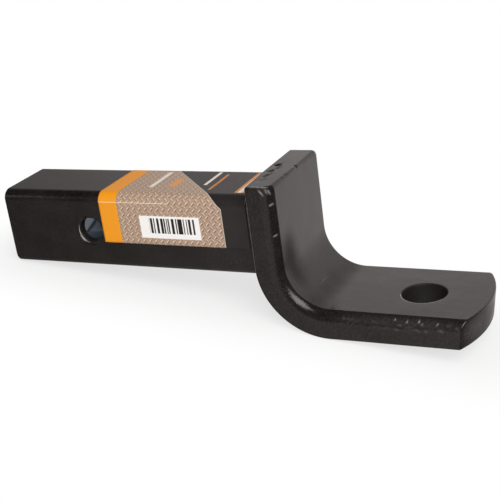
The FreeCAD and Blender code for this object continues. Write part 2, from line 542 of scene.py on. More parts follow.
@dataclass(frozen=True)
class LabelPrint:
    """Coated paper, printed in flat inks and glued down.

    It gives the eye crisp fields of orange, tan and charcoal under a thin gloss, a small tread
    pattern in the tan that looks raised, and the pale sheet at its fold and on a white panel.

    Attributes:
        name: Name of the material.
        sheet_span: Millimetres in one unit of the print's UV map.
        band: Width of the orange band at the end nearest the pin hole.
        orange: Its ink.
        tan_end: Where the tan field ends on the near flap.
        slant: Sum of the two print coordinates along the slanted edge of the tan field.
        rule: Half width of the line just inside the end and the slanted edge.
        rule_ink: Its ink.
        fields: Plain fields printed over the tan and charcoal, in order.
        bars: The block of upright bars on the white panel.
        bar: Width of a bar.
        bar_level: Level of the stripes over which a bar is printed.
        tread: Spacing of the tread marks, drawn a little coarse so that they show.
        mark: Half lengths and half widths of a tread mark in one spacing.
        mark_edge: Levels of a mark's oval at which the mark starts and is full.
        mark_shade: Slope of the light across a mark that lies one way, and the other way.
        tones: Share of the marks in the tan's light, its plain level, and the share of the specks.
        tan: Levels of light and inks of the tan.
        specks: Specks in the tan.
        charcoal: Thin and full ink of the dark field.
        clouds: Clouds in the charcoal.
        crease: Fold along the near corner, where the pale sheet shows through the inks.
        gloss: Waves in the gloss.
        gloss_height: Height of these waves.
        roughness: Least and greatest roughness of the gloss.
        ior: Index of refraction of the gloss.
    """

    name: str = "printed coated paper"
    sheet_span: float = 240.0
    band: float = 13.2
    orange: str = "#f39b08"
    tan_end: float = 86.8
    slant: float = 111.8
    rule: float = 0.2
    rule_ink: str = "#cfc4b8"
    fields: tuple[Field, ...] = (
        Field((28.4, 4.3), (70.7, 19.1), "#f6f4f1"),
        Field((30.0, 44.0), (33.0, 72.0), "#efe6da"),
        Field((43.0, 46.0), (48.0, 60.0), "#e59a45"),
        Field((66.0, 50.0), (68.2, 74.0), "#efe6da"),
        Field((73.0, 42.0), (75.0, 70.0), "#c9782c"),
        Field((93.0, 38.0), (100.0, 74.0), "#e08a3a"),
        Field((95.0, 38.0), (98.0, 74.0), "#efe6da"),
    )
    bars: Field = Field((35.1, 7.6), (67.1, 17.6), "#1d1b1b")
    bar: float = 1.5
    bar_level: float = 0.47
    tread: float = 3.0
    mark: Span = (1.9, 4.8)
    mark_edge: Span = (1.25, 0.55)
    mark_shade: Span = (2.8, -5.2)
    tones: Point = (0.75, 0.43, 0.55)
    tan: Stops = (
        (0.3, "#5f4a3d"),
        (0.6, "#a48974"),
        (0.75, "#b49983"),
        (1.0, "#e6d2c1"),
    )
    specks: Grain = Grain(1.1, 2.0, 0.6)
    charcoal: tuple[str, str] = ("#211e1d", "#2e2a29")
    clouds: Grain = Grain(9.0, 3.0, 0.6)
    crease: Field = Field((0.0, 27.15), (50.0, 27.5), "#f4dfb6")
    gloss: Grain = Grain(3.0, 3.0, 0.6)
    gloss_height: float = 0.03
    roughness: Span = (0.28, 0.44)
    ior: float = 1.48

    def material(self) -> Material:
        """Build the print's nodes and return the material."""
        material, tree = new_material(self.name)
        sheet = add(tree, "UVMap", uv_map="print")
        sheet = add(tree, "VectorMath", sheet, sockets={"Scale": self.sheet_span}, operation="SCALE")
        split = add(tree, "SeparateXYZ", sheet)
        along, around, _ = split.outputs
        past_slant = add(tree, "Math", along, around, operation="ADD")
        past_slant = add(tree, "Math", past_slant, self.slant, operation="SUBTRACT")
        past_slant = add(tree, "Math", past_slant, math.sqrt(0.5), operation="MULTIPLY")
        past_end = add(tree, "Math", along, self.tan_end, operation="SUBTRACT")
        beyond = add(tree, "Math", past_slant, past_end, operation="MAXIMUM")
        dark = add(tree, "Math", beyond, 0.0, operation="GREATER_THAN")
        rule = add(tree, "Math", beyond, -self.rule, self.rule, operation="COMPARE")
        band = add(tree, "Math", along, self.band, operation="LESS_THAN")
        stripes = {"W": along, "Scale": 1 / self.bar, "Detail": 0.0}
        bars = add(tree, "TexNoise", sockets=stripes, noise_dimensions="1D")
        bars = add(tree, "Math", bars, self.bar_level, operation="GREATER_THAN")
        bars = add(tree, "Math", bars, self.bars.cover(tree, split), operation="MULTIPLY")
        layers = [
            (dark, self.charcoal_ink(tree, sheet)),
            *((field.cover(tree, split), linear(field.ink)) for field in self.fields),
            (rule, linear(self.rule_ink)),
            (bars, linear(self.bars.ink)),
            (band, linear(self.orange)),
            (self.crease.cover(tree, split), linear(self.crease.ink)),
        ]
        ink = self.tread_ink(tree, sheet)
        for cover, colour in layers:
            ink = add(tree, "Mix", sockets={0: cover, 6: ink, 7: colour}, data_type="RGBA")
        gloss = add(tree, "TexNoise", sheet, sockets=self.gloss.sockets())
        rough = add(tree, "MapRange", gloss, 0.0, 1.0, *self.roughness)
        waves = {"Height": gloss, "Strength": 1.0, "Distance": self.gloss_height * METRE}
        bump = add(tree, "Bump", sockets=waves)
        coated = {"Base Color": ink, "Roughness": rough, "Normal": bump, "IOR": self.ior}
        add(tree, "OutputMaterial", add(tree, "BsdfPrincipled", sockets=coated))
        return material

    def tread_ink(self, tree: Tree, sheet: Node) -> Node:
        """Tan ink with short raised-looking marks that lie two ways in turn, as on tread plate.

        A mark is an oval in a cell of a slanted grid. One of its long sides is light and the other
        dark, by the distance from its middle line.

        Args:
            tree: The print's node tree.
            sheet: Print coordinates in millimetres.

        Returns:
            The node that gives the colour.
        """
        eighth = {"Angle": QUARTER / 2}
        turned = add(tree, "VectorRotate", sheet, sockets=eighth, rotation_type="Z_AXIS")
        turned = add(tree, "VectorMath", turned, sockets={"Scale": 1 / self.tread}, operation="SCALE")
        cell = add(tree, "VectorMath", turned, operation="FLOOR")
        spot = add(tree, "VectorMath", turned, cell, operation="SUBTRACT")
        spot = add(tree, "VectorMath", spot, (0.5, 0.5, 0.0), operation="SUBTRACT")
        column, row, _ = add(tree, "SeparateXYZ", cell).outputs
        right, up, _ = add(tree, "SeparateXYZ", spot).outputs
        odd = add(tree, "Math", column, row, operation="ADD")
        odd = add(tree, "Math", odd, 2.0, operation="FLOORED_MODULO")
        length, width = (
            add(tree, "Mix", sockets={0: odd, 2: even_way, 3: odd_way}, data_type="FLOAT")
            for even_way, odd_way in ((right, up), (up, right))
        )
        parts = []
        for place, share in zip((length, width), self.mark):
            part = add(tree, "Math", place, share, operation="MULTIPLY")
            parts.append(add(tree, "Math", part, 2.0, operation="POWER"))
        oval = add(tree, "Math", *parts, operation="ADD")
        mark = add(tree, "MapRange", oval, *self.mark_edge, 0.0, 1.0)
        one_way, other_way = self.mark_shade
        slope = add(tree, "Math", odd, other_way - one_way, one_way, operation="MULTIPLY_ADD")
        lit = add(tree, "Math", width, slope, operation="MULTIPLY")
        lit = add(tree, "Math", lit, mark, operation="MULTIPLY")
        marked, plain, specked = self.tones
        tone = add(tree, "Math", lit, marked, plain, operation="MULTIPLY_ADD")
        specks = add(tree, "TexNoise", sheet, sockets=self.specks.sockets())
        tone = add(tree, "Math", specks, specked, tone, operation="MULTIPLY_ADD")
        return add(tree, "ValToRGB", tone, stops=self.tan)

    def charcoal_ink(self, tree: Tree, sheet: Node) -> Node:
        """Charcoal ink, a little uneven where it lies over the glue.

        Args:
            tree: The print's node tree.
            sheet: Print coordinates in millimetres.

        Returns:
            The node that gives the colour.
        """
        cloud = add(tree, "TexNoise", sheet, sockets=self.clouds.sockets())
        thin, full = (linear(code) for code in self.charcoal)
        return add(tree, "Mix", sockets={0: cloud, 6: thin, 7: full}, data_type="RGBA")


@dataclass
class ShankTube:
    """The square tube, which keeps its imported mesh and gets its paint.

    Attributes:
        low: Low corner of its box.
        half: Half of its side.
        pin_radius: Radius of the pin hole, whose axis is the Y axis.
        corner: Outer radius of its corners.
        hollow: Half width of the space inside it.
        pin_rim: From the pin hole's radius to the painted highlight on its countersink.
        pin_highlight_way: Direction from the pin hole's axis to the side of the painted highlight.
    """

    low: np.ndarray
    half: float
    pin_radius: float
    corner: float = 6.4
    hollow: float = 19.05
    pin_rim: float = 0.75
    pin_highlight_way: Point = (-0.86, 0.0, -0.4)

    @classmethod
    def from_frame(cls, mounts: dict[str, dict]) -> "ShankTube":
        """Take the tube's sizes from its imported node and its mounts.

        Args:
            mounts: The record's mounts by name.

        Returns:
            The tube.
        """
        low, high = node_box("shank_tube")
        return cls(low, half=high[1], pin_radius=mounts["hitch_pin_hole"]["dims"]["r_mm"])

    @property
    def flat(self) -> float:
        """Half width of the flat of a side."""
        return self.half - self.corner

    @property
    def turn(self) -> float:
        """Length of the outer round of a corner."""
        return self.corner * QUARTER

    def dress(self, node: Piece) -> None:
        """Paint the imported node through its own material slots, and report it.

        Args:
            node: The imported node.
        """
        pin_hole = Bore((1, 0, 1), 0.0, self.pin_radius + self.pin_rim, self.pin_highlight_way)
        paint = BlackPaint("sprayed enamel on tube", inside=MillScale(self.hollow), bore=pin_hole)
        node.data.materials.clear()
        node.data.materials.append(paint.material())
        LOG.info("shank_tube: packed node, painted")


@dataclass
class DropBar:
    """The flat bar: upright leg, bend, and ball platform with its hole and round nose.

    Attributes:
        back_x: Back of the upright leg.
        top_z: Top of the upright leg.
        under_z: Underside of the platform.
        nose_x: Tip of the nose.
        width: Width of the bar.
        thickness: Thickness of the bar.
        hole_x: Middle of the ball hole.
        hole_radius: Radius of the ball hole.
        bend_inside: Inside radius of the bend.
        nose_radius: Radius of the nose, seen from above.
        nose_lean: How far the nose leans back from its upper to its lower edge.
        rolled: Radius of the inside edge that the shear rolled over.
        rolled_turn: Angle through which that edge turns before it meets the inside face, in degrees.
        square: Radius of the other three edges.
        end_break: Radius of the edges of the two cut ends.
        near_corner: Radius of the near corners of the two ends, seen on the broad face.
        far_corner: Radius of the far corners.
        front_rounding: How far the leg's upper inside edge is worn round: near side, middle, far side.
        back_rounding: The same for its upper outside edge.
        rim: Radius of the ball hole's edges.
        ball_rim: From the ball hole's radius to the painted highlight on its edge.
        ball_highlight_way: Direction from the ball hole's axis to the side of the painted highlight.
        shear_seed: Seed of the small marks that the shear left along the platform's rolled edge.
        shear_marks: How many of them there are.
        shear_start: X at which they start.
        shear_end: How far before the nose they end.
        hole_block: Half width of the square of cells that gives way to the hole.
        hole_cells: Cells in that half width.
        ring_cells: Cells from that square to the rim.
        rim_points: Points round the rim's edge.
        wall_points: Points down the hole's wall.
        across_steps: Steps over a broad face: near corner, flat, far corner.
        along_steps: Steps along the bar: end break, leg, bend, platform, end break.
        thick_points: Points through the thickness.
    """

    back_x: float
    top_z: float
    under_z: float
    nose_x: float
    width: float
    thickness: float
    hole_x: float
    hole_radius: float
    bend_inside: float = 26.6
    nose_radius: float = 76.0
    nose_lean: float = 2.1
    rolled: float = 8.1
    rolled_turn: float = 67.0
    square: float = 1.5
    end_break: float = 1.0
    near_corner: float = 0.7
    far_corner: float = 3.2
    front_rounding: Point = (2.4, 0.8, 2.6)
    back_rounding: Point = (2.6, 0.8, 0.8)
    rim: float = 0.7
    ball_rim: float = 0.5
    ball_highlight_way: Point = (-0.3, -2.0, 0.0)
    shear_seed: int = 23
    shear_marks: int = 56
    shear_start: float = 172.0
    shear_end: float = 12.0
    hole_block: float = 19.5
    hole_cells: int = 26
    ring_cells: int = 8
    rim_points: int = 5
    wall_points: int = 9
    across_steps: tuple[int, int, int] = (15, 84, 9)
    along_steps: tuple[int, int, int, int, int] = (5, 96, 66, 120, 5)
    thick_points: int = 20

    @classmethod
    def from_frame(cls, mounts: dict[str, dict]) -> "DropBar":
        """Take the bar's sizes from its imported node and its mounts.

        Args:
            mounts: The record's mounts by name.

        Returns:
            The bar.
        """
        low, high = node_box("drop_bar")
        hole = mounts["ball_hole"]
        thickness = (mounts["ball_seat"]["pos_m"][2] - mounts["nut_seat"]["pos_m"][2]) / METRE
        return cls(
            back_x=low[0],
            top_z=high[2],
            under_z=low[2],
            nose_x=high[0],
            width=high[1] - low[1],
            thickness=thickness,
            hole_x=hole["pos_m"][0] / METRE,
            hole_radius=hole["dims"]["r_mm"],
        )

    @property
    def bend_outside(self) -> float:
        """Outside radius of the bend."""
        return self.bend_inside + self.thickness

    @property
    def bend_x(self) -> float:
        """X of the bend's axis."""
        return self.back_x + self.bend_outside

    @property
    def bend_z(self) -> float:
        """Z of the bend's axis."""
        return self.under_z + self.bend_outside

    def chain(self, near: float, near_turn: float, inside: bool, inset: np.ndarray) -> np.ndarray:
        """Outline of one broad face of the bar's section, from near edge to far edge.

        Each corner's points are a centre plus a radius along a normal that turns evenly, and the flat
        between them is a straight line. The near corner may stop turning before it reaches the flat's
        own direction, which leaves a crisp line there.

        Args:
            near: Radius of the near corner.
            near_turn: Angle through which the near corner turns.
            inside: Whether the face is on the inside of the bend.
            inset: How far each row is drawn in from the outline.

        Returns:
            Y and depth over the outside face, by row and step.
        """
        step = spread(*self.across_steps)
        half, far = self.width / 2, self.square
        stops = [0, 1, 1 + 1e-9, 2, 3]
        turned = np.interp(step, stops, [0, near_turn, QUARTER, QUARTER, 2 * QUARTER])
        near_end = near * (1 - math.cos(near_turn)) - half
        near_y, far_y = near * (1 - np.cos(turned)) - half, half - far - far * np.cos(turned)
        flat_y = near_end + (step - 1) * (half - far - near_end)
        y = np.select([step <= 1, step < 2], [near_y, flat_y], far_y)
        near_fall, far_fall = near * (math.sin(near_turn) - np.sin(turned)), far * (1 - np.sin(turned))
        fall = np.where(step <= 1, near_fall, far_fall)
        depth = self.thickness - fall if inside else fall
        y = y + inset[:, None] * np.cos(turned)
        depth = depth - inset[:, None] * np.sin(turned) * (1 if inside else -1)
        return np.stack([y, depth], axis=-1)

    def place(
        self, section: np.ndarray, turn: np.ndarray, rise: np.ndarray, share: np.ndarray, extra: np.ndarray
    ) -> np.ndarray:
        """Carry points of the section to their place along the bar.

        The section turns about the bend's axis, and runs by its share of the leg's or the platform's
        length. Both are shorter at the sides, by a quarter round at the corners. The leg is also
        shorter towards its two broad faces, by quarter rounds whose radius changes from side to side,
        and the platform by the nose's round and its lean.

        Args:
            section: Y and depth of each point.
            turn: Angle about the bend's axis.
            rise: Share of the leg's length.
            share: Share of the platform's length.
            extra: Length over that share.

        Returns:
            The points.
        """
        y, depth = section[..., 0], section[..., 1]
        reach = self.bend_outside - depth
        corner = np.where(y < 0, self.near_corner, self.far_corner)
        side = np.clip(np.abs(y) - self.width / 2 + corner, 0.0, corner)
        short = corner - np.sqrt(corner**2 - side**2) + self.end_break
        leg = self.top_z - self.bend_z - short
        sides = (-self.width / 2, 0.0, self.width / 2)
        for rounding, deep in ((self.front_rounding, self.thickness - depth), (self.back_rounding, depth)):
            radius = np.interp(y, sides, rounding)
            leg = leg - radius + np.sqrt(radius**2 - np.clip(radius - deep, 0.0, radius) ** 2)
        sagitta = self.nose_radius - np.sqrt(self.nose_radius**2 - y**2)
        lean = self.nose_lean * (1 - depth / self.thickness)
        platform = self.nose_x - self.bend_x - sagitta - lean - short
        x = self.bend_x - reach * np.cos(turn) + share * platform + np.where(share > 0, extra, 0.0)
        z = self.bend_z - reach * np.sin(turn) + rise * leg + np.where(rise > 0, extra, 0.0)
        return np.stack([x, y, z], axis=-1)

    def surface(self) -> tuple[np.ndarray, np.ndarray]:
        """Work out the bar's mesh: the skin along the bar, its two end faces and the ball hole.

        Returns:
            The points, and four point numbers for each quad.
        """
        step = spread(*self.along_steps)
        stops = range(len(self.along_steps) + 1)
        break_turn = np.interp(step, stops, np.radians([90, 0, 0, 0, 0, 90]))
        turn = np.interp(step, stops, np.radians([0, 0, 0, 90, 90, 90]))
        share = np.interp(step, stops, [0, 0, 0, 0, 1, 1])
        rise = np.interp(step, stops, [1, 1, 0, 0, 0, 0])
        inset = self.end_break * (1 - np.cos(break_turn))
        front = self.chain(self.rolled, math.radians(self.rolled_turn), True, inset)
        back = self.chain(self.square, QUARTER, False, inset)
        between = np.linspace(0, 1, self.thick_points)[:, None]
        far = back[:, -1:] + between[-2:0:-1] * (front[:, -1:] - back[:, -1:])
        near = back[:, :1] + between[1:-1] * (front[:, :1] - back[:, :1])
        loop = np.concatenate([front, far, back[:, ::-1], near, front[:, :1]], axis=1)
        path = [value[:, None] for value in (turn, rise, share, self.end_break * np.sin(break_turn))]
        skin = self.place(loop, *path)
        ends = []
        for row in (0, -1):
            face = back[row] + between[:, None] * (front[row] - back[row])
            ends.append(self.place(face, *(value[row] for value in path)))
        hole, left_out = self.hole(skin, front.shape[1], far.shape[1])
        return weld_grids([skin, *ends, hole], left_out)

    def hole(self, skin: np.ndarray, broad: int, narrow: int) -> tuple[np.ndarray, np.ndarray]:
        """Work out the ball hole: a ring of cells from a square of the skin to the rim, on both faces.

        The rings run straight from the square's edge to the rim's circle. The rim is a quarter round,
        and the wall between the two rims is a cylinder.

        Args:
            skin: The bar's skin.
            broad: Columns of a broad face.
            narrow: Columns between the broad faces.

        Returns:
            The hole's grid, and which cells of the skin it replaces.
        """
        left_out = np.zeros((skin.shape[0] - 1, skin.shape[1] - 1), bool)
        edges, half = [], self.hole_cells
        run = skin[:, broad // 2, 0] - self.hole_x
        start, end = (int(np.argmin(np.abs(run - side * self.hole_block))) for side in (-1, 1))
        for first, flip in ((0, 1), (broad + narrow, -1)):
            face = skin[:, first : first + broad]
            middle = int(np.argmin(np.abs(face[-1, :, 1])))
            left_out[start:end, first + middle - half : first + middle + half] = True
            block = face[start : end + 1, middle - half : middle + half + 1][:, ::flip]
            edge = [block[0, :-1], block[:-1, -1], block[-1, :0:-1], block[:0:-1, 0], block[:1, 0]]
            edges.append(np.concatenate(edge))
        angle = np.arctan2(edges[0][:, 1], edges[0][:, 0] - self.hole_x)
        bead = np.linspace(0, QUARTER, self.rim_points)
        radius = self.hole_radius + self.rim * (1 - np.sin(bead))
        drop = self.rim * (1 - np.cos(bead))
        top_z = self.under_z + self.thickness
        deep = np.linspace(top_z - drop[-1], self.under_z + drop[-1], self.wall_points)[1:-1]
        wall_z = np.concatenate([top_z - drop, deep, self.under_z + drop[::-1]])[:, None]
        straight = np.full(len(deep), self.hole_radius)
        wall_radius = np.concatenate([radius, straight, radius[::-1]])[:, None]
        x, y = self.hole_x + wall_radius * np.cos(angle), wall_radius * np.sin(angle)
        wall = np.stack([x, y, np.broadcast_to(wall_z, x.shape)], axis=-1)
        share = np.linspace(0, 1, self.ring_cells + 1)[:-1, None, None]
        upper = edges[0] + share * (wall[0] - edges[0])
        lower = edges[1] + share[::-1] * (wall[-1] - edges[1])
        return np.concatenate([upper, wall, lower]), left_out

    def roll(self, turned: float) -> tuple[float, float]:
        """Find a point on the rolled edge.

        Args:
            turned: Its angle from the near side, in degrees.

        Returns:
            Its y, and how far it lies under the inside face.
        """
        angle, last = math.radians(turned), math.radians(self.rolled_turn)
        y = self.rolled * (1 - math.cos(angle)) - self.width / 2
        return y, self.rolled * (math.sin(last) - math.sin(angle))

    def marks(self) -> list[Mark]:
        """List the bar's nicks, shear gouges, rubbed edges, painted highlights and sheen, and dull places.
        """
        near, back, front = -self.width / 2, self.back_x, self.back_x + self.thickness
        top, seat, nose = self.top_z, self.under_z + self.thickness, self.nose_x
        nick_y, nick_below = self.roll(45)
        marks = [
            # Nicks on the leg's rolled edge and near side, in pale paint that is partly rubbed paint and
            # partly painted highlight
            Mark((front - nick_below, nick_y, 24.8), (0.75, 0.55, 0.35), 1.6, 0.42, 0.4, 0.9),
            Mark((front - nick_below, nick_y, 5.6), (0.75, 0.55, 0.35), 1.5, 0.4, 0.35, 0.9),
            Mark((front - 6.6, near + 0.1, 32.6), (0.6, 0.0, -0.8), 2.2, 0.42, 0.3, 0.9),
            Mark((front - 3.6, near + 0.9, 33.2), (0.35, 0.0, -0.9), 1.8, 0.5, 0.35, 0.6),
            Mark((front - 2.2, near + 2.0, 32.6), (0.35, 0.2, -0.9), 1.7, 0.42, 0.3, 0.7),
            # Dents along the leg's upper inside edge
            Mark((front - 0.4, 2.9, top - 0.5), (0.3, 0.4, -0.85), 1.4, 0.8, 0.6),
            Mark((front - 0.4, -18.5, top - 0.4), (0.2, 1.0, -0.2), 1.6, 0.6, 0.2),
            Mark((front - 0.4, -13.0, top - 0.4), (0.2, 1.0, -0.2), 1.9, 0.6, 0.25),
            # Tears and lumps that the shear left on the leg's top
            Mark((back + 6.2, -12.0, top), (0.06, 1.0, 0.0), 15.5, 0.7, 0.4),
            Mark((back + 5.0, 3.6, top), (0.5, 1.0, 0.0), 2.4, 1.3, 0.8),
            Mark((back + 6.6, -1.2, top), (-0.2, 1.0, 0.0), 2.6, 1.0, 0.7),
            Mark((back + 7.6, 1.6, top), (0.3, 1.0, 0.0), 3.0, 0.9, -0.35),
            Mark((back + 5.4, -7.4, top), (0.4, 1.0, 0.0), 3.2, 0.9, 0.6),
            Mark((back + 7.4, -9.6, top), (0.1, 1.0, 0.0), 2.8, 0.8, -0.3),
            Mark((back + 6.2, -15.8, top), (0.2, 1.0, 0.0), 3.4, 0.8, 0.5),
            Mark((back + 6.8, -23.5, top), (0.5, 1.0, 0.0), 2.0, 0.8, 0.4),
            # A scratch and a nick in the bend
            Mark((front + 11.2, -1.0, seat + 5.0), (0.05, 1.0, 0.05), 10.5, 0.4, 0.05, 0.14),
            Mark((front + 2.4, -24.0, seat + 14.0), (0.3, 0.5, -0.5), 0.9, 0.8, 0.4),
            # Painted highlights along the leg's near edges, paler paint on the nose, a faint painted sheen
            # along the platform's rolled edge, and dull paint on the nose and the bend
            Mark((back + 0.4, near + 0.4, 5.0), (0, 0, 1), 29.0, 0.5, 0.0, 0.5),
            Mark((front - 8.6, near + 0.6, top - 0.15), (1, 0, -0.03), 8.4, 0.55, 0.0, 0.6),
            Mark((nose + 1.0, -24.0, seat - 8.7), (0.32, 1, 0), 13.0, 6.0, 0.0, 0.21),
            Mark((nose + 2.0, -2.0, seat - 8.7), (0, 1, 0), 16.0, 7.0, 0.0, -0.12),
            Mark((front + 0.6, -20.0, seat + 24.0), (0.1, 0.2, -1.0), 21.0, 10.0, 0.0, -0.36),
            Mark((front + 2.0, -10.0, seat + 18.0), (0.2, 0.5, -0.8), 9.0, 6.0, 0.0, -0.2),
            Mark((206.0, near + 1.8, seat - 3.6), (1, 0, 0), 36.0, 3.0, 0.0, 0.07),
        ]
        # Small lumps and tears all along the platform's rolled edge, with pale flecks that are partly
        # rubbed paint and partly painted glints
        shear = np.random.default_rng(self.shear_seed)
        for x in np.linspace(self.shear_start, nose - self.shear_end, self.shear_marks):
            y, below = self.roll(shear.uniform(2, 48))
            way = (1.0, shear.uniform(-0.5, 0.5), shear.uniform(-0.7, 0.3))
            depth = shear.uniform(-0.2, 0.3)
            place = (x + shear.uniform(-0.8, 0.8), y, seat - below)
            rub_and_glint = 0.18 * shear.uniform(0, 1) ** 2
            marks.append(Mark(place, way, shear.uniform(0.8, 2.0), 0.7, depth, rub_and_glint))
        # A few burrs there, each with a painted highlight in pale paint: x, angle on the rolled edge and
        # half length, each beside a tear
        glinting_burrs = (203.0, 43, 1.1), (210.2, 38, 1.5), (217.2, 44, 1.4), (219.2, 32, 0.9), (228.2, 37, 1.0)
        for x, turned, length in glinting_burrs:
            y, below = self.roll(turned)
            marks.append(Mark((x, y, seat - below), (0.3, 0.64, 0.77), length, 0.36, -0.2, 0.42))
            marks.append(Mark((x + 1.1, y, seat - below), (0.2, 0.64, 0.77), length, 0.6, 0.35))
        return marks

    def build(self) -> Piece:
        """Build the bar, paint it and press its marks into it.

        Returns:
            The bar.
        """
        ball_hole = Bore((1, 1, 0), self.hole_x, self.hole_radius + self.ball_rim, self.ball_highlight_way)
        paint = BlackPaint("sprayed enamel on flat bar", bore=ball_hole)
        points, quads = self.surface()
        piece = make_piece("drop_bar_rolled", points, quads, paint.material())
        press_marks(piece, self.marks())
        return piece


@dataclass
class WeldBead:
    """The fillet weld that runs round the shank's end on the back of the bar.

    Attributes:
        bar: The bar that it is laid against.
        shank: The shank that it runs round.
        leg: How far the bead reaches along the shank and up the bar.
        crown: Height of its crown.
        ripple: Spacing of its ripples.
        ripple_height: Height of its ripples.
        crescent: How far a ripple lags at the bead's edges, in ripples.
        sharpness: Power of a ripple's curve; below 1 its hollows are sharp.
        toe_waves: Height, wavelength over two pi and phase of the waves in its toe on the shank.
        sunk: How far its edges run into the steel.
        grid: Points round the shank and across the bead.
    """

    bar: DropBar
    shank: ShankTube
    leg: float = 4.6
    crown: float = 0.45
    ripple: float = 2.2
    ripple_height: float = 0.3
    crescent: float = 0.55
    sharpness: float = 0.7
    toe_waves: tuple[Point, Point] = ((0.25, 5.3, 0.0), (0.2, 2.9, 1.0))
    sunk: float = 0.25
    grid: tuple[int, int] = (421, 15)

    def outline(self, around: np.ndarray) -> tuple[np.ndarray, np.ndarray]:
        """Points and outward normals of the shank's section at distances round it.

        A corner's centre and the angle of the normal are straight-line functions of the distance.

        Args:
            around: Distance from the middle of the shank's underside.

        Returns:
            Y and Z of the points, and Y and Z of the normals.
        """
        flat, turn = self.shank.flat, self.shank.turn
        stops = np.cumsum([0, flat, turn, 2 * flat, turn, 2 * flat, turn, 2 * flat, turn, flat])
        centre_y = np.interp(around, stops, flat * np.array([0, 1, 1, 1, 1, -1, -1, -1, -1, 0]))
        centre_z = np.interp(around, stops, flat * np.array([-1, -1, -1, 1, 1, 1, 1, -1, -1, -1]))
        angle = np.interp(around, stops, QUARTER * np.array([-1, -1, 0, 0, 1, 1, 2, 2, 3, 3]))
        normal = np.stack([np.cos(angle), np.sin(angle)], axis=-1)
        return np.stack([centre_y, centre_z], axis=-1) + self.shank.corner * normal, normal

    def build(self) -> Piece:
        """Build and paint the bead: a crowned profile carried round the shank, with crescent ripples.

        The profile runs in a straight line from the toe on the shank to the toe on the bar, raised by
        a half sine. The ripples are a cosine of the distance round the shank, delayed by the square of
        the distance from the bead's middle, so that they lie in crescents.

        Returns:
            The bead.
        """
        girth = 8 * self.shank.flat + 2 * math.pi * self.shank.corner
        lengths = np.linspace(0, girth, self.grid[0])
        around, across = np.meshgrid(lengths, np.linspace(0, 1, self.grid[1]), indexing="ij")
        foot, normal = self.outline(around)
        uneven = sum(height * np.sin(around / length + start) for height, length, start in self.toe_waves)
        top_z = foot[..., 1] + normal[..., 1] * self.leg
        below = np.clip(self.bar.bend_z - top_z, 0.0, None)
        bar_x = self.bar.bend_x - np.sqrt(self.bar.bend_outside**2 - below**2) + self.sunk
        toe_x = self.bar.back_x - self.leg - uneven * np.sin(np.pi * around / girth) ** 2
        count = round(girth / self.ripple)
        phase = count * around / girth + self.crescent * (2 * across - 1) ** 2
        ripple = (0.5 - 0.5 * np.cos(2 * np.pi * phase)) ** self.sharpness
        raised = np.sin(np.pi * across) * (self.crown + self.ripple_height * ripple) / math.sqrt(2)
        height = -self.sunk + (self.leg + self.sunk) * across + raised
        x = toe_x + across * (bar_x - toe_x) - raised
        skin = np.concatenate([x[..., None], foot + normal * height[..., None]], axis=-1)
        root = np.concatenate([bar_x[..., None], foot - normal * self.sunk], axis=-1)[:, -1:]
        points, quads = weld_grids([np.concatenate([skin, root, skin[:, :1]], axis=1)])
        paint = BlackPaint("sprayed enamel on weld")
        return make_piece("weld_bead_rippled", points, quads, paint.material())


